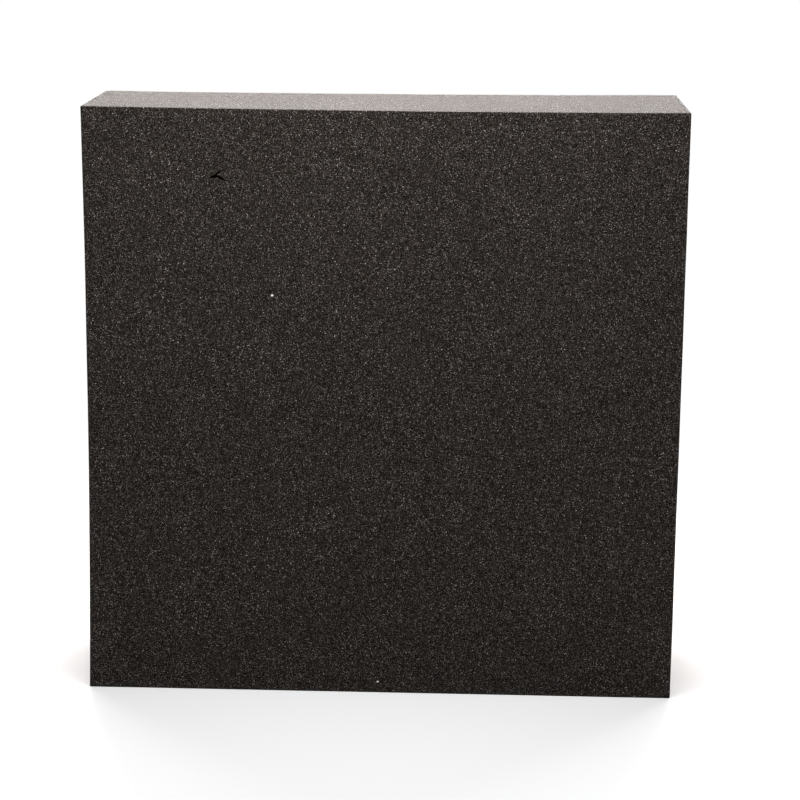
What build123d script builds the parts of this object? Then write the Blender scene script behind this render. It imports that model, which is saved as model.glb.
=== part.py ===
from build123d import *
import os

# A bare block of charcoal open-cell foam, the seat cushion without a cover, standing on one narrow side.
# Millimetres. X runs along the width, -Y is the front face and Z is up from the side that it stands on.

# The block as it was cut, its height measured at the left side
block_width = 400
block_height = 400
block_thickness = 120

# How the cuts depart from a true box: two narrow sides are hollow, and the top climbs to the right
left_hollow = 1.7
top_hollow = 0.85
top_climb = 1.7

# Foam cuts to a crisp edge that rubs round a little in use
edge_radius = 0.7

# The forked tear in the front face: where its prongs meet, how far they spread and how deep they go
tear_from_left = 89
tear_height = 355.5
tear_across = 11.1
tear_rise = 7.1
tear_depth = 8

# The tear's outline round the point where the prongs meet, as shares of its spread across and up
tear_outline_shares = [
    (-0.37, -0.14),  # tip of the stem, to the left
    (-0.11, 0.13),
    (0.40, 0.58),  # tip of the upper prong
    (0.08, 0.08),  # crotch between the prongs
    (0.63, -0.42),  # tip of the lower prong
    (-0.05, -0.18),
]

# Torn foam springs back, so the tear is open at the front face and closes up towards its bottom
tear_mouth_share = 1
tear_bottom_share = 0.3


def tear_section(openness_share):
    """The tear's outline as a closed face, opened to a share of its size at the front face."""
    with BuildSketch(mode=Mode.PRIVATE) as section:
        with BuildLine():
            Polyline(
                [
                    (across * tear_across * openness_share, up * tear_rise * openness_share)
                    for across, up in tear_outline_shares
                ],
                close=True,
            )
        make_face()
    return section.sketch


# The block, drawn as its front outline and extruded both ways from the middle of its thickness
bottom_left = (-block_width / 2, 0)
bottom_right = (block_width / 2, 0)
top_left = (-block_width / 2, block_height)
top_right = (block_width / 2, block_height + top_climb)
left_middle = (-block_width / 2 + left_hollow, block_height / 2)
top_middle = (0, block_height + top_climb / 2 - top_hollow)
front_face = Plane.XZ.offset(block_thickness / 2)
tear_place = (tear_from_left - block_width / 2, tear_height)

with BuildPart() as foam_block:
    with BuildSketch(Plane.XZ):
        with BuildLine():
            Line(bottom_left, bottom_right)
            Line(bottom_right, top_right)
            ThreePointArc(top_right, top_middle, top_left)
            ThreePointArc(top_left, left_middle, bottom_left)
        make_face()
    extrude(amount=block_thickness / 2, both=True)
    fillet(foam_block.edges(), radius=edge_radius)

    # The forked tear, widest at the front face
    with BuildSketch(front_face):
        with Locations(tear_place):
            add(tear_section(tear_mouth_share))
    with BuildSketch(front_face.offset(-tear_depth)):
        with Locations(tear_place):
            add(tear_section(tear_bottom_share))
    loft(ruled=True, mode=Mode.SUBTRACT)

foam_block.part.label = "foam_block"

os.makedirs("parts", exist_ok=True)
export_step(foam_block.part, "parts/foam_block.step")
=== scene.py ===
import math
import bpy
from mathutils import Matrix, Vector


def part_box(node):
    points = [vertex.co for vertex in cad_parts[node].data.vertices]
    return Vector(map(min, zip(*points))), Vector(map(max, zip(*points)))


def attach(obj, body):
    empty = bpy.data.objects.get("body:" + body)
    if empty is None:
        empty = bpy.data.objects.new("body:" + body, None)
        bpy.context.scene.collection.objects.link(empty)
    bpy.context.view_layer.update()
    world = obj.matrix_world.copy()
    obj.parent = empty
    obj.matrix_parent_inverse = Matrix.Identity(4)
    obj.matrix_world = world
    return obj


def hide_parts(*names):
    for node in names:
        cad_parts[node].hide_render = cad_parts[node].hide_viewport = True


bl_info = {
    "name": "Foam cushion",
    "version": (1, 0, 0),
    "blender": (4, 5, 0),
    "location": "View3D > Sidebar > Foam cushion",
    "description": "A bare seat cushion: one sawn block of charcoal open-cell foam on a white studio floor",
    "category": "Object",
}

import bmesh
import bpy
from mathutils import Matrix, Vector, noise

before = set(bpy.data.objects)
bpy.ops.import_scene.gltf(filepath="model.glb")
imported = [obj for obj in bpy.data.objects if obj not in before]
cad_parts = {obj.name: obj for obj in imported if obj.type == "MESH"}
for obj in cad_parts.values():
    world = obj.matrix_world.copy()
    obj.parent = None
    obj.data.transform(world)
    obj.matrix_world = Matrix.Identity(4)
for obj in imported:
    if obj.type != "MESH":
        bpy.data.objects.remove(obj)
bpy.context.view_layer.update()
BLOCK_LOW, BLOCK_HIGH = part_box("foam_block")
MM = 0.001


def linear(hex_colour):
    """An sRGB hex colour as linear red, green and blue."""
    channels = [int(hex_colour[i : i + 2], 16) / 255 for i in (1, 3, 5)]
    return tuple(c / 12.92 if c <= 0.04045 else ((c + 0.055) / 1.055) ** 2.4 for c in channels)


class FoamBlockSizes(bpy.types.PropertyGroup):
    """How the block was sawn and what has happened to it since."""

    grid_spacing: bpy.props.FloatProperty(
        name="Grid spacing",
        description="Distance between the mesh lines on the sawn faces",
        default=4 * MM,
        min=1 * MM,
        unit="LENGTH",
    )
    edge_radius: bpy.props.FloatProperty(
        name="Edge radius",
        description="How far the sawn edges have rubbed round",
        default=0.8 * MM,
        min=0.1 * MM,
        unit="LENGTH",
    )
    left_hollow: bpy.props.FloatProperty(
        name="Left hollow",
        description="How far the left side pulls in between its corners",
        default=1.7 * MM,
        unit="LENGTH",
    )
    left_flare: bpy.props.FloatProperty(
        name="Left flare",
        description="How far the left side leans out towards the back",
        default=0.6 * MM,
        unit="LENGTH",
    )
    top_hollow: bpy.props.FloatProperty(
        name="Top hollow",
        description="How far the top dips between its corners",
        default=0.85 * MM,
        unit="LENGTH",
    )
    top_climb: bpy.props.FloatProperty(
        name="Top climb",
        description="How much higher the top is on the right than on the left",
        default=1.7 * MM,
        unit="LENGTH",
    )
    top_twist: bpy.props.FloatProperty(
        name="Top twist",
        description="How far the top's corners rise and drop by turns",
        default=0.4 * MM,
        unit="LENGTH",
    )
    saw_wander: bpy.props.FloatProperty(
        name="Saw wander",
        description="How far the blade wandered in and out along a face",
        default=0.15 * MM,
        unit="LENGTH",
    )
    saw_wander_length: bpy.props.FloatProperty(
        name="Saw wander length",
        description="Distance between the blade's wanderings",
        default=45 * MM,
        min=1 * MM,
        unit="LENGTH",
    )
    tear_from_left: bpy.props.FloatProperty(
        name="Tear from left",
        description="Distance of the tear's fork from the left side",
        default=89 * MM,
        unit="LENGTH",
    )
    tear_height: bpy.props.FloatProperty(
        name="Tear height",
        description="Height of the tear's fork",
        default=355.5 * MM,
        unit="LENGTH",
    )
    tear_across: bpy.props.FloatProperty(
        name="Tear across",
        description="How far the tear spreads across the face",
        default=11.1 * MM,
        unit="LENGTH",
    )
    tear_rise: bpy.props.FloatProperty(
        name="Tear rise",
        description="How far the tear spreads up the face",
        default=7.1 * MM,
        unit="LENGTH",
    )
    tear_depth: bpy.props.FloatProperty(
        name="Tear depth",
        description="How deep the tear is at its fork",
        default=8 * MM,
        unit="LENGTH",
    )
    tear_gape: bpy.props.FloatProperty(
        name="Tear gape",
        description="How wide the tear stands open at its fork",
        default=2.2 * MM,
        min=0.1 * MM,
        unit="LENGTH",
    )
    tear_lip: bpy.props.FloatProperty(
        name="Tear lip",
        description="How far the torn lips stand proud",
        default=0.25 * MM,
        unit="LENGTH",
    )
    tear_cuts: bpy.props.IntProperty(
        name="Tear cuts",
        description="How often the mesh is divided round the tear",
        default=25,
        min=1,
    )


class FoamFinish(bpy.types.PropertyGroup):
    """What the foam looks like close to."""

    strut_colour: bpy.props.FloatVectorProperty(
        name="Strut colour",
        description="The sawn struts between the cells",
        default=linear("#362f2a"),
        subtype="COLOR",
        size=3,
        min=0,
        max=1,
    )
    # Painted shade: the mouths of the pores are darkened to this colour for the shade down in them
    pore_shade_colour: bpy.props.FloatVectorProperty(
        name="Pore shade colour",
        description="The dark mouths of the sawn cells",
        default=linear("#1e1a16"),
        subtype="COLOR",
        size=3,
        min=0,
        max=1,
    )
    # Painted glint: the brightest cells turn to this neutral colour, as though they mirrored the lamps
    painted_glint_colour: bpy.props.FloatVectorProperty(
        name="Painted glint colour",
        description="The cells that mirror the lamps, before they are brightened",
        default=linear("#2c2a2a"),
        subtype="COLOR",
        size=3,
        min=0,
        max=1,
    )
    cell_width: bpy.props.FloatProperty(
        name="Cell width",
        description="Mean width of a foam cell",
        default=0.36 * MM,
        min=0.1 * MM,
        unit="LENGTH",
    )
    cell_contrast: bpy.props.FloatProperty(
        name="Cell contrast",
        description="Spread of the logarithm of the cells' brightness",
        default=1.65,
        min=0.01,
    )
    pore_depth: bpy.props.FloatProperty(
        name="Pore depth",
        description="How deep a sawn pore looks",
        default=0.08 * MM,
        min=0,
        unit="LENGTH",
    )
    gloss: bpy.props.FloatProperty(
        name="Gloss",
        description="How strongly the skin of the struts mirrors, where 0.5 is a full smooth skin",
        default=0.045,
        min=0,
        max=1,
        subtype="FACTOR",
    )
    gloss_roughness: bpy.props.FloatProperty(
        name="Gloss roughness",
        description="How far the mirrored light spreads",
        default=0.6,
        min=0,
        max=1,
        subtype="FACTOR",
    )
    # Painted shade: the tear's colour is the foam's, scaled down by this share for the shade down in the tear
    painted_tear_shade: bpy.props.FloatProperty(
        name="Painted tear shade",
        description="The share of the foam's own colour that is left down in the tear",
        default=0.1,
        min=0,
        max=1,
        subtype="FACTOR",
    )


class LintSizes(bpy.types.PropertyGroup):
    """The two crumbs of lint that cling to the front face, with places taken from its lower left corner."""

    fibre_colour: bpy.props.FloatVectorProperty(
        name="Fibre colour",
        description="The fibres on the outside of a crumb",
        default=linear("#cbc9c4"),
        subtype="COLOR",
        size=3,
        min=0,
        max=1,
    )
    # Painted shade: the hollows between the fibres are greyed to this colour
    hollow_shade_colour: bpy.props.FloatVectorProperty(
        name="Hollow shade colour",
        description="The hollows between the fibres",
        default=linear("#aba9a4"),
        subtype="COLOR",
        size=3,
        min=0,
        max=1,
    )
    fibre_width: bpy.props.FloatProperty(
        name="Fibre width",
        description="Width of a strand of matted fibres",
        default=0.15 * MM,
        min=0.01 * MM,
        unit="LENGTH",
    )
    upper_place: bpy.props.FloatVectorProperty(
        name="Upper place",
        description="The upper crumb's middle, across and up",
        default=(126.35 * MM, 276.45 * MM),
        size=2,
        unit="LENGTH",
    )
    upper_span: bpy.props.FloatVectorProperty(
        name="Upper span",
        description="The upper crumb's width and height",
        default=(1.75 * MM, 1.4 * MM),
        size=2,
        unit="LENGTH",
    )
    lower_place: bpy.props.FloatVectorProperty(
        name="Lower place",
        description="The lower crumb's middle, across and up",
        default=(199 * MM, 8.05 * MM),
        size=2,
        unit="LENGTH",
    )
    lower_span: bpy.props.FloatVectorProperty(
        name="Lower span",
        description="The lower crumb's width and height",
        default=(1.5 * MM, 1.25 * MM),
        size=2,
        unit="LENGTH",
    )


class StageSettings(bpy.types.PropertyGroup):
    """The studio: floor, lamps, white room and camera."""

    floor_colour: bpy.props.FloatVectorProperty(
        name="Floor colour",
        description="White vinyl floor",
        default=linear("#efeff0"),
        subtype="COLOR",
        size=3,
        min=0,
        max=1,
    )
    floor_radius: bpy.props.FloatProperty(
        name="Floor radius",
        description="Radius of the round floor",
        default=0.85,
        unit="LENGTH",
    )
    floor_fade: bpy.props.FloatProperty(
        name="Floor fade",
        description="Radius at which the floor starts to melt into the room",
        default=0.45,
        unit="LENGTH",
    )
    floor_forward: bpy.props.FloatProperty(
        name="Floor forward",
        description="How far the floor's middle is in front of the block's",
        default=0.15,
        unit="LENGTH",
    )
    front_wall: bpy.props.FloatProperty(
        name="Front wall",
        description="Brightness of the white wall behind the camera",
        default=1.3,
        min=0,
    )
    back_wall: bpy.props.FloatProperty(
        name="Back wall",
        description="Brightness of the white wall behind the block",
        default=1.3,
        min=0,
    )
    near_power: bpy.props.FloatProperty(
        name="Near power",
        description="Softbox close above the front",
        default=6.2,
        min=0,
        unit="POWER",
    )
    side_power: bpy.props.FloatProperty(
        name="Side power",
        description="Softboxes over the floor at the two sides",
        default=3.2,
        min=0,
        unit="POWER",
    )
    back_power: bpy.props.FloatProperty(
        name="Back power",
        description="Wide softbox behind the block",
        default=17.5,
        min=0,
        unit="POWER",
    )
    lamp_colour: bpy.props.FloatVectorProperty(
        name="Lamp colour",
        description="The near and side softboxes",
        default=linear("#ffffff"),
        subtype="COLOR",
        size=3,
        min=0,
        max=1,
    )
    back_colour: bpy.props.FloatVectorProperty(
        name="Back colour",
        description="The softbox behind, a little warmer",
        default=linear("#fff6f1"),
        subtype="COLOR",
        size=3,
        min=0,
        max=1,
    )
    eye: bpy.props.FloatVectorProperty(
        name="Eye",
        description="Where the camera stands",
        default=(54.18 * MM, -1646.99 * MM, 556.49 * MM),
        subtype="XYZ",
        unit="LENGTH",
        size=3,
    )
    yaw: bpy.props.FloatProperty(
        name="Yaw",
        description="Camera turned to the right of straight ahead",
        default=math.radians(-1.5152),
        subtype="ANGLE",
    )
    pitch: bpy.props.FloatProperty(
        name="Pitch",
        description="Camera tipped down",
        default=math.radians(12.4274),
        subtype="ANGLE",
    )
    roll: bpy.props.FloatProperty(
        name="Roll",
        description="Camera tipped sideways",
        default=math.radians(-0.6701),
        subtype="ANGLE",
    )
    focal_px: bpy.props.FloatProperty(
        name="Focal length",
        description="Focal length in pixels of the 800 pixel frame",
        default=2424,
        min=1,
    )


def add_node(tree, kind, settings=(), **inputs):
    """A node with its settings, its inputs set to values or linked to other nodes' outputs."""
    node = tree.nodes.new(kind)
    for name, value in dict(settings).items():
        setattr(node, name, value)
    for name, value in inputs.items():
        key = int(name[3:]) if name.startswith("at_") else name.replace("_", " ")
        socket = node.inputs[key]
        if isinstance(value, bpy.types.NodeSocket):
            tree.links.new(value, socket)
        else:
            socket.default_value = value
    return node


def new_material(name):
    """An empty node material and its tree."""
    material = bpy.data.materials.new(name)
    material.use_nodes = True
    material.node_tree.nodes.clear()
    return material, material.node_tree


# The refractive index of polyurethane
FOAM_IOR = 1.45

# A strut's flat crown and its foot, as shares of the cell width from the wall between two cells
STRUT_CROWN_SHARE = 0.02
STRUT_FOOT_SHARE = 0.2

# How many times as bright as the mean a cell is when its painted glint, in the lamps' neutral colour, starts
# to show, and when the painted glint shows alone
PAINTED_GLINT_FROM = 0.5
PAINTED_GLINT_FULL = 8.0


def cut_cells(tree, finish):
    """The cut cells: a random colour for each, where the struts are, and the foam's own colour with painted
    shade in the pores.
    """
    place = add_node(tree, "ShaderNodeTexCoord").outputs["Object"]
    scale = 1 / finish.cell_width
    cells = add_node(tree, "ShaderNodeTexVoronoi", {"feature": "F1"}, Vector=place, Scale=scale)
    walls = add_node(tree, "ShaderNodeTexVoronoi", {"feature": "DISTANCE_TO_EDGE"}, Vector=place, Scale=scale)
    strut = add_node(
        tree, "ShaderNodeMapRange", {"interpolation_type": "SMOOTHSTEP"}, Value=walls.outputs["Distance"],
        From_Min=STRUT_CROWN_SHARE, From_Max=STRUT_FOOT_SHARE, To_Min=1.0, To_Max=0.0,
    ).outputs["Result"]
    # Painted shade: away from the struts, the pore mouths are darkened to the pore shade colour
    tone_with_pore_shade = add_node(
        tree, "ShaderNodeMix", {"data_type": "RGBA"}, at_0=strut, at_6=(*finish.pore_shade_colour, 1),
        at_7=(*finish.strut_colour, 1),
    ).outputs[2]
    return cells.outputs["Color"], strut, tone_with_pore_shade


def sawn_foam(finish):
    """Open-cell polyurethane foam, sawn."""
    # Soot-dyed and full of open pores, it is dark and matt; each cut cell is given its own random brightness,
    # painted shade darkens its pore and a few cells carry a painted glint.
    # A cell is finer than a pixel of the picture, so at its real size it shows as a speckle, as to the eye.
    # So little of the cut is smooth skin that it mirrors only at a grazing angle, with a lamp behind it.
    material, tree = new_material("sawn_open_cell_polyurethane_foam")
    cell_colour, strut, tone_with_pore_shade = cut_cells(tree, finish)

    # The three parts of a cell's random colour add up to nearly a bell curve round 1.5 with a spread of 0.5.
    # Its exponential, scaled to a mean of one, gives many dull cells and a few bright ones, whose brightness
    # is partly a painted glint.
    draw = add_node(
        tree, "ShaderNodeVectorMath", {"operation": "DOT_PRODUCT"}, at_0=cell_colour, at_1=(1.0, 1.0, 1.0)
    ).outputs["Value"]
    contrast = finish.cell_contrast
    power = add_node(
        tree, "ShaderNodeMath", {"operation": "MULTIPLY_ADD"}, at_0=draw, at_1=2 * contrast,
        at_2=-3 * contrast - 3 * math.log(math.sinh(contrast) / contrast),
    ).outputs["Value"]
    brightness_and_glint_gain = add_node(tree, "ShaderNodeMath", {"operation": "EXPONENT"}, at_0=power).outputs["Value"]
    # Painted glint: the brightest cells turn to the neutral glint colour, as though they mirrored the lamps
    painted_glint = add_node(
        tree, "ShaderNodeMapRange", {"interpolation_type": "SMOOTHSTEP"}, Value=brightness_and_glint_gain, From_Min=PAINTED_GLINT_FROM,
        From_Max=PAINTED_GLINT_FULL, To_Min=0.0, To_Max=1.0,
    ).outputs["Result"]
    painted_glint_mix = add_node(
        tree, "ShaderNodeMix", {"data_type": "RGBA"}, at_0=painted_glint, at_6=tone_with_pore_shade, at_7=(*finish.painted_glint_colour, 1)
    ).outputs[2]
    colour = add_node(
        tree, "ShaderNodeVectorMath", {"operation": "SCALE"}, at_0=painted_glint_mix, at_3=brightness_and_glint_gain
    ).outputs["Vector"]
    bump = add_node(tree, "ShaderNodeBump", Strength=1.0, Distance=finish.pore_depth, Height=strut)
    shader = add_node(
        tree, "ShaderNodeBsdfPrincipled", Base_Color=colour, Roughness=finish.gloss_roughness, IOR=FOAM_IOR,
        Specular_IOR_Level=finish.gloss, Normal=bump.outputs["Normal"],
    )
    add_node(tree, "ShaderNodeOutputMaterial", Surface=shader.outputs["BSDF"])
    return material


def torn_foam_in_painted_shade(finish):
    """Open-cell polyurethane foam, torn, in painted shade."""
    # Torn cells face every way and lie in each other's shade, which is painted in: the colour is the sawn
    # foam's scaled down to nearly black, with no gloss.
    material, tree = new_material("torn_open_cell_polyurethane_foam")
    _, strut, tone_with_pore_shade = cut_cells(tree, finish)
    # Painted shade: the sawn foam's colour scaled down by the tear's shade share
    colour = add_node(
        tree, "ShaderNodeVectorMath", {"operation": "SCALE"}, at_0=tone_with_pore_shade, at_3=finish.painted_tear_shade
    ).outputs["Vector"]
    bump = add_node(tree, "ShaderNodeBump", Strength=1.0, Distance=finish.pore_depth, Height=strut)
    shader = add_node(
        tree, "ShaderNodeBsdfPrincipled", Base_Color=colour, Roughness=1.0, IOR=FOAM_IOR,
        Specular_IOR_Level=0.0, Normal=bump.outputs["Normal"],
    )
    add_node(tree, "ShaderNodeOutputMaterial", Surface=shader.outputs["BSDF"])
    return material


# Cotton's refractive index, how rough and how downy the matted fibres are, how finely they part, how much
# they curl and how strongly their relief shows
COTTON_IOR = 1.53
COTTON_ROUGHNESS = 0.9
COTTON_DOWN = 0.2
FIBRE_DETAIL = 2.0
FIBRE_CURL = 1.0
FIBRE_RELIEF = 0.5


def cotton_lint(lint):
    """Cotton lint, matted."""
    # Loose white fibres scatter the light with no gloss, and the hollows between them are greyed with painted
    # shade where the fibre relief is low.
    material, tree = new_material("matted_cotton_lint")
    place = add_node(tree, "ShaderNodeTexCoord").outputs["Object"]
    fibres = add_node(
        tree, "ShaderNodeTexNoise", Vector=place, Scale=1 / lint.fibre_width, Detail=FIBRE_DETAIL,
        Distortion=FIBRE_CURL,
    ).outputs["Fac"]
    # Painted shade: where the fibre relief is low, the colour goes to the hollow shade colour
    colour = add_node(
        tree, "ShaderNodeMix", {"data_type": "RGBA"}, at_0=fibres, at_6=(*lint.hollow_shade_colour, 1),
        at_7=(*lint.fibre_colour, 1),
    ).outputs[2]
    bump = add_node(tree, "ShaderNodeBump", Strength=FIBRE_RELIEF, Distance=lint.fibre_width, Height=fibres)
    shader = add_node(
        tree, "ShaderNodeBsdfPrincipled", Base_Color=colour, Roughness=COTTON_ROUGHNESS, IOR=COTTON_IOR,
        Sheen_Weight=COTTON_DOWN, Normal=bump.outputs["Normal"],
    )
    add_node(tree, "ShaderNodeOutputMaterial", Surface=shader.outputs["BSDF"])
    return material


# The refractive index of vinyl, and how dull its gloss is
VINYL_IOR = 1.5
VINYL_ROUGHNESS = 0.22


def vinyl_floor(stage):
    """Vinyl sheet, calendered."""
    # Rolled between polished cylinders, it is white, with a dull gloss that mirrors what stands on it.
    material, tree = new_material("calendered_white_vinyl")
    place = add_node(tree, "ShaderNodeTexCoord").outputs["Object"]
    reach = add_node(tree, "ShaderNodeVectorMath", {"operation": "LENGTH"}, at_0=place).outputs["Value"]
    fade = add_node(
        tree, "ShaderNodeMapRange", {"interpolation_type": "SMOOTHSTEP"}, Value=reach,
        From_Min=stage.floor_fade, From_Max=stage.floor_radius, To_Min=0.0, To_Max=1.0,
    ).outputs["Result"]
    shader = add_node(
        tree, "ShaderNodeBsdfPrincipled", Base_Color=(*stage.floor_colour, 1), Roughness=VINYL_ROUGHNESS,
        IOR=VINYL_IOR,
    )
    clear = add_node(tree, "ShaderNodeBsdfTransparent")
    mix = add_node(
        tree, "ShaderNodeMixShader", at_0=fade, at_1=shader.outputs["BSDF"], at_2=clear.outputs["BSDF"]
    )
    add_node(tree, "ShaderNodeOutputMaterial", Surface=mix.outputs["Shader"])
    return material


def new_piece(name, mesh, *materials):
    """A smooth mesh object in the scene, made from a bmesh."""
    for face in mesh.faces:
        face.smooth = True
    data = bpy.data.meshes.new(name)
    mesh.to_mesh(data)
    mesh.free()
    for material in materials:
        data.materials.append(material)
    piece = bpy.data.objects.new(name, data)
    bpy.context.scene.collection.objects.link(piece)
    return piece


# Where the mesh lines run over a rubbed edge, as shares of its radius
EDGE_LINE_SHARES = (0.0, 0.2, 0.45, 0.75, 1.0)


def grid_lines(low, high, spacing, radius):
    """Mesh lines from low to high: close together over the rubbed edges and even between them."""
    edge = [radius * share for share in EDGE_LINE_SHARES]
    inner_low, inner_high = low + radius, high - radius
    count = max(2, round((inner_high - inner_low) / spacing))
    inner = [inner_low + (inner_high - inner_low) * i / count for i in range(1, count)]
    return [low + e for e in edge] + inner + [high - e for e in reversed(edge)]


def closed_grid(mesh, lines):
    """A closed box of quads on these lines along X, Y and Z. Each face keeps the number of its side."""
    counts = [len(line) - 1 for line in lines]
    side = mesh.faces.layers.int.new("side")
    verts = {}

    def vert(index):
        if index not in verts:
            verts[index] = mesh.verts.new([lines[axis][i] for axis, i in enumerate(index)])
        return verts[index]

    for axis in range(3):
        u, v = (axis + 1) % 3, (axis + 2) % 3
        for end in (0, 1):
            for a in range(counts[u]):
                for b in range(counts[v]):
                    ring = []
                    for da, db in ((0, 0), (1, 0), (1, 1), (0, 1)):
                        index = [0, 0, 0]
                        index[axis], index[u], index[v] = end * counts[axis], a + da, b + db
                        ring.append(vert(tuple(index)))
                    face = mesh.faces.new(ring if end else reversed(ring))
                    face[side] = 2 * axis + end


def rubbed(point, low, high, radius):
    """A point of a true box moved on to the same box with rounded edges, and its outward normal."""
    core = Vector([min(max(p, a + radius), b - radius) for p, a, b in zip(point, low, high)])
    normal = (point - core).normalized()
    return core + radius * normal, normal


def sawn(point, normal, low, high, sizes):
    """A point of the rounded box moved to where the saw really went."""
    size = high - low
    across = (point.x - low.x) / size.x
    back = (point.y - low.y) / size.y
    up = (point.z - low.z) / size.z
    to_left = (1 - across) ** 2
    left_in = sizes.left_hollow * 4 * up * (1 - up) * to_left - sizes.left_flare * back * to_left
    top_up = sizes.top_climb * across - sizes.top_hollow * 4 * across * (1 - across)
    top_up += sizes.top_twist * (2 * across - 1) * (2 * back - 1)
    wander = sizes.saw_wander * noise.noise(point / sizes.saw_wander_length)
    off_floor = min(1, (point.z - low.z) / sizes.saw_wander_length)
    return point + Vector((left_in, 0, top_up * up * up)) + normal * wander * off_floor


# The tear's stem and its two prongs, each a line of places from the fork out: across and up as shares of the
# tear's spread, and how far it gapes there as a share of the widest gape
TEAR_PRONGS = (
    ((0.1, -0.03, 0.6), (-0.05, -0.04, 0.95), (-0.2, -0.09, 0.7), (-0.36, -0.13, 0.15)),
    ((0.1, -0.03, 0.6), (0.25, -0.12, 0.6), (0.34, -0.21, 0.62), (0.43, -0.29, 0.42), (0.63, -0.43, 0.12)),
    ((-0.04, 0.06, 0.55), (0.04, 0.2, 0.45), (0.14, 0.35, 0.45), (0.26, 0.46, 0.38), (0.43, 0.6, 0.1)),
)

# The tear goes to its full depth where it gapes by this share or more, and its walls are this steep
FULL_DEPTH_GAPE_SHARE = 2 / 3
TEAR_WALL_POWER = 4

# How far the fine mesh reaches from the fork, as a share of the tear's spread
FINE_MESH_SHARE = 0.75


def nearest_on_prong(point, prong, spread):
    """Distance from a point to a prong's line, and the share of the gape at the nearest place on it."""
    best = (math.inf, 0)
    for (x0, z0, gape_0), (x1, z1, gape_1) in zip(prong, prong[1:]):
        start = Vector((x0 * spread.x, z0 * spread.y))
        run = Vector((x1 * spread.x, z1 * spread.y)) - start
        along = min(max((point - start).dot(run) / run.length_squared, 0), 1)
        best = min(best, ((point - start - run * along).length, gape_0 + (gape_1 - gape_0) * along))
    return best


def tear_push(from_fork, sizes):
    """How far the tear pushes in a point of the front face that lies here from the fork."""
    spread = Vector((sizes.tear_across, sizes.tear_rise))
    push = 0
    lip = 0
    for prong in TEAR_PRONGS:
        distance, gape_share = nearest_on_prong(from_fork, prong, spread)
        half = sizes.tear_gape / 2 * gape_share
        if distance < half:
            depth = sizes.tear_depth * min(1, gape_share / FULL_DEPTH_GAPE_SHARE)
            push = max(push, depth * (1 - (distance / half) ** TEAR_WALL_POWER))
        else:
            away = (distance - half) / sizes.tear_gape
            lip = max(lip, sizes.tear_lip * gape_share * math.exp(-(away**2)))
    return push if push else -lip


def cut_tear(mesh, sizes, low):
    """Fine mesh round the tear, pushed in along its stem and prongs. Torn faces take the second material."""
    fork = Vector((low.x + sizes.tear_from_left, sizes.tear_height))
    reach = FINE_MESH_SHARE * sizes.tear_across + sizes.grid_spacing
    front = low.y + 2 * sizes.saw_wander

    def from_fork(vert):
        return Vector((vert.co.x, vert.co.z)) - fork

    def near(vert):
        return vert.co.y < front and max(map(abs, from_fork(vert))) < reach

    edges = [edge for edge in mesh.edges if all(near(vert) for vert in edge.verts)]
    bmesh.ops.subdivide_edges(mesh, edges=edges, cuts=sizes.tear_cuts, use_grid_fill=True)
    torn = set()
    for vert in mesh.verts:
        if near(vert):
            push = tear_push(from_fork(vert), sizes)
            vert.co.y += push
            if push > sizes.tear_lip:
                torn.add(vert)
    for face in mesh.faces:
        if any(vert in torn for vert in face.verts):
            face.material_index = 1


# Space between the sides of the block where they are laid flat
SHEET_GAP = 4 * MM


def unwrap_sides(mesh, low, high):
    """A UV map with the six sawn sides laid flat beside each other, at one scale."""
    size = high - low
    column_2 = size.x + SHEET_GAP
    row_2 = size.z + SHEET_GAP
    row_3 = row_2 + size.y + SHEET_GAP
    sheet = column_2 + size.x
    # For each side, the two axes that run along it, and its corner on the sheet
    layout = {
        0: (2, 1, 0, row_2),
        1: (2, 1, column_2, row_2),
        2: (0, 2, 0, 0),
        3: (0, 2, column_2, 0),
        4: (0, 1, 0, row_3),
        5: (0, 1, column_2, row_3),
    }
    side = mesh.faces.layers.int["side"]
    uv = mesh.loops.layers.uv.new("OFBake")
    for face in mesh.faces:
        u, v, right, up = layout[face[side]]
        for loop in face.loops:
            place = loop.vert.co - low
            loop[uv].uv = ((place[u] + right) / sheet, (place[v] + up) / sheet)


class FOAM_OT_block(bpy.types.Operator):
    """Make the foam block with its rubbed edges, hollow sides and forked tear"""

    bl_idname = "foam_cushion.block"
    bl_label = "Foam block"

    def execute(self, context):
        sizes = context.scene.foam_block_sizes
        low, high = BLOCK_LOW.copy(), BLOCK_HIGH.copy()
        high.z -= sizes.top_climb
        mesh = bmesh.new()
        spacing, radius = sizes.grid_spacing, sizes.edge_radius
        closed_grid(mesh, [grid_lines(a, b, spacing, radius) for a, b in zip(low, high)])
        for vert in mesh.verts:
            vert.co = sawn(*rubbed(vert.co, low, high, radius), low, high, sizes)
        cut_tear(mesh, sizes, low)
        unwrap_sides(mesh, low, high)
        finish = context.scene.foam_finish
        block = new_piece("sawn_foam_block", mesh, sawn_foam(finish), torn_foam_in_painted_shade(finish))
        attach(block, "root")
        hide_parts("foam_block")
        return {"FINISHED"}


# A crumb's lumps, as a share of its size and as a number across it, how far it is sunk into the pores, and
# how often the ball that it is shaped from is divided
LUMP_SHARE = 0.45
LUMPS_ACROSS = 3
LINT_SUNK_SHARE = 0.05
LINT_DIVISIONS = 3


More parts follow.
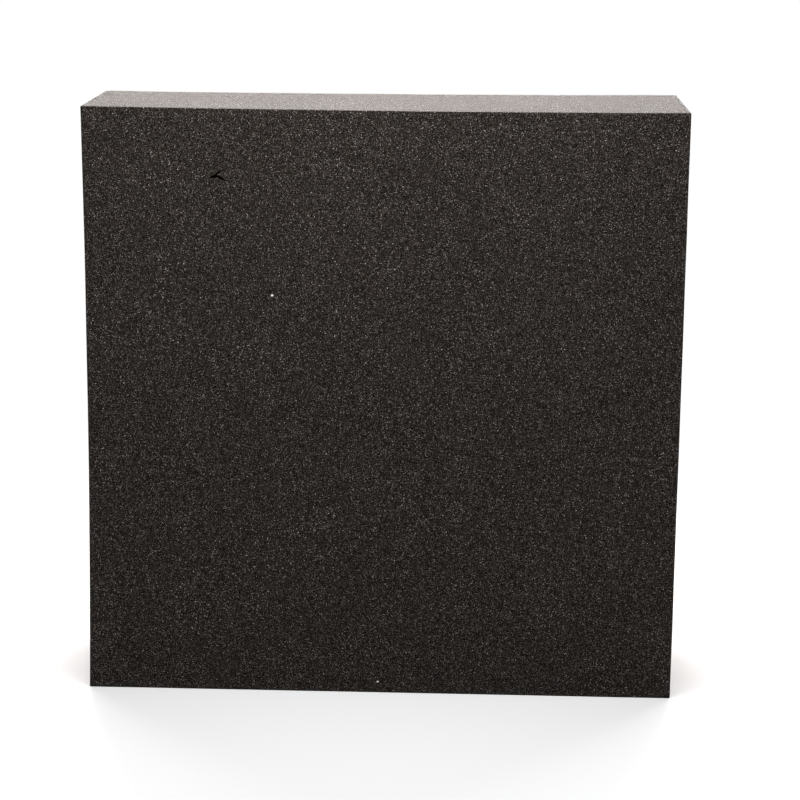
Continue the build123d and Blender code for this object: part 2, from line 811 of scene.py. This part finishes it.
class FOAM_OT_lint(bpy.types.Operator):
    """Make the crumbs of white lint on the front face"""

    bl_idname = "foam_cushion.lint"
    bl_label = "Lint"

    def execute(self, context):
        lint = context.scene.foam_lint
        material = cotton_lint(lint)
        crumbs = (
            ("lint_upper", lint.upper_place, lint.upper_span),
            ("lint_lower", lint.lower_place, lint.lower_span),
        )
        for name, (from_left, height), (across, rise) in crumbs:
            mesh = bmesh.new()
            bmesh.ops.create_icosphere(mesh, subdivisions=LINT_DIVISIONS, radius=0.5)
            proud = (0.5 - LINT_SUNK_SHARE) * rise
            middle = Vector((BLOCK_LOW.x + from_left, BLOCK_LOW.y - proud, height))
            for vert in mesh.verts:
                lump = 1 + LUMP_SHARE * noise.noise(vert.co * LUMPS_ACROSS + middle / MM)
                vert.co = middle + Vector((vert.co.x * across, vert.co.y * rise, vert.co.z * rise)) * lump
            crumb = new_piece(name, mesh, material)
            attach(crumb, "root")
        return {"FINISHED"}


# Each softbox: the settings for its power and colour, where it hangs, what it points at, its width and depth
SOFTBOXES = {
    "near_softbox": ("near_power", "lamp_colour", (0.0, -0.22, 0.7), (0.0, -0.22, 0.0), 0.55, 0.32),
    "left_softbox": ("side_power", "lamp_colour", (-0.6, 0.6, 0.9), (-0.4, -0.2, 0.0), 0.3, 0.3),
    "right_softbox": ("side_power", "lamp_colour", (0.6, 0.6, 0.9), (0.4, -0.2, 0.0), 0.3, 0.3),
    "back_softbox": ("back_power", "back_colour", (0.0, 0.85, 0.7), (0.0, 0.0, 0.2), 1.0, 0.3),
}


def hang_softboxes(stage):
    """Soft lamps that light the block and the floor, out of the camera's sight."""
    for name, (power, colour, place, aim, width, depth) in SOFTBOXES.items():
        light = bpy.data.lights.new(name, "AREA")
        light.energy = getattr(stage, power)
        light.color = getattr(stage, colour)
        light.shape = "RECTANGLE"
        light.size = width
        light.size_y = depth
        lamp = bpy.data.objects.new(name, light)
        lamp.location = place
        lamp.rotation_euler = (Vector(aim) - Vector(place)).to_track_quat("-Z", "Y").to_euler()
        lamp.visible_camera = False
        bpy.context.scene.collection.objects.link(lamp)


# The room's walls end between these two heights, its front wall turns into the back wall between these two
# depths, each as a share of the way out from the middle, and the camera sees this white behind everything
WALL_TOP_SHARES = (0.2, 0.5)
WALL_TURN_SHARES = (-0.3, 0.3)
SEEN_WHITE = 1.02


def white_room(stage):
    """A room with white walls and a dark ceiling, which the camera sees as plain white."""
    world = bpy.data.worlds.new("white_room")
    world.use_nodes = True
    tree = world.node_tree
    tree.nodes.clear()
    direction = add_node(tree, "ShaderNodeTexCoord").outputs["Generated"]
    axes = add_node(tree, "ShaderNodeSeparateXYZ", Vector=direction)
    low = add_node(
        tree, "ShaderNodeMapRange", {"interpolation_type": "SMOOTHSTEP"}, Value=axes.outputs["Z"],
        From_Min=WALL_TOP_SHARES[0], From_Max=WALL_TOP_SHARES[1], To_Min=1.0, To_Max=0.0,
    ).outputs["Result"]
    wall = add_node(
        tree, "ShaderNodeMapRange", {"interpolation_type": "SMOOTHSTEP"}, Value=axes.outputs["Y"],
        From_Min=WALL_TURN_SHARES[0], From_Max=WALL_TURN_SHARES[1], To_Min=stage.front_wall,
        To_Max=stage.back_wall,
    ).outputs["Result"]
    walls = add_node(tree, "ShaderNodeMath", {"operation": "MULTIPLY"}, at_0=low, at_1=wall).outputs["Value"]
    seen = add_node(tree, "ShaderNodeLightPath").outputs["Is Camera Ray"]
    strength = add_node(
        tree, "ShaderNodeMix", {"data_type": "FLOAT"}, at_0=seen, at_2=walls, at_3=SEEN_WHITE
    ).outputs[0]
    room = add_node(tree, "ShaderNodeBackground", Color=(1.0, 1.0, 1.0, 1.0), Strength=strength)
    add_node(tree, "ShaderNodeOutputWorld", Surface=room.outputs["Background"])
    return world


# The picture's side in pixels and the width of the camera's sensor
PICTURE_SIDE_PX = 800
SENSOR_MM = 36


def add_camera(stage):
    """The camera, standing and turned as in the photograph."""
    data = bpy.data.cameras.new("camera")
    data.sensor_width = SENSOR_MM
    data.lens = stage.focal_px / PICTURE_SIDE_PX * SENSOR_MM
    camera = bpy.data.objects.new("camera", data)
    level = math.cos(stage.pitch)
    forward = Vector((math.sin(stage.yaw) * level, math.cos(stage.yaw) * level, -math.sin(stage.pitch)))
    right = Vector((math.cos(stage.yaw), -math.sin(stage.yaw), 0))
    up = right.cross(forward)
    tip = Matrix.Rotation(stage.roll, 3, forward)
    axes = Matrix((tip @ right, tip @ up, -forward)).transposed()
    camera.matrix_world = Matrix.Translation(stage.eye) @ axes.to_4x4()
    bpy.context.scene.collection.objects.link(camera)
    return camera


# Straight runs in the rim of the round floor
FLOOR_RIM_RUNS = 96


class FOAM_OT_stage(bpy.types.Operator):
    """Make the floor, the lamps, the white room and the camera"""

    bl_idname = "foam_cushion.stage"
    bl_label = "Stage"

    def execute(self, context):
        scene = context.scene
        stage = scene.foam_stage
        mesh = bmesh.new()
        bmesh.ops.create_circle(mesh, cap_ends=True, radius=stage.floor_radius, segments=FLOOR_RIM_RUNS)
        floor = new_piece("vinyl_floor", mesh, vinyl_floor(stage))
        floor.location.y = -stage.floor_forward
        hang_softboxes(stage)
        scene.world = white_room(stage)
        scene.camera = add_camera(stage)
        scene.view_settings.view_transform = "Standard"
        return {"FINISHED"}


class FOAM_PT_panel(bpy.types.Panel):
    """Sidebar panel with the foam cushion's pieces"""

    bl_idname = "FOAM_PT_panel"
    bl_label = "Foam cushion"
    bl_space_type = "VIEW_3D"
    bl_region_type = "UI"
    bl_category = "Foam cushion"

    def draw(self, context):
        for operator in OPERATORS:
            self.layout.operator(operator.bl_idname)
        for name, group in SETTINGS.items():
            for key in group.__annotations__:
                self.layout.prop(getattr(context.scene, name), key)


OPERATORS = (FOAM_OT_stage, FOAM_OT_block, FOAM_OT_lint)
SETTINGS = {
    "foam_block_sizes": FoamBlockSizes,
    "foam_finish": FoamFinish,
    "foam_lint": LintSizes,
    "foam_stage": StageSettings,
}
CLASSES = (*SETTINGS.values(), *OPERATORS, FOAM_PT_panel)


def register():
    for cls in CLASSES:
        bpy.utils.register_class(cls)
    for name, group in SETTINGS.items():
        setattr(bpy.types.Scene, name, bpy.props.PointerProperty(type=group))


def unregister():
    for name in SETTINGS:
        delattr(bpy.types.Scene, name)
    for cls in reversed(CLASSES):
        bpy.utils.unregister_class(cls)


def main():
    register()
    bpy.ops.foam_cushion.stage()
    bpy.ops.foam_cushion.block()
    bpy.ops.foam_cushion.lint()


if __name__ == "__main__":
    main()
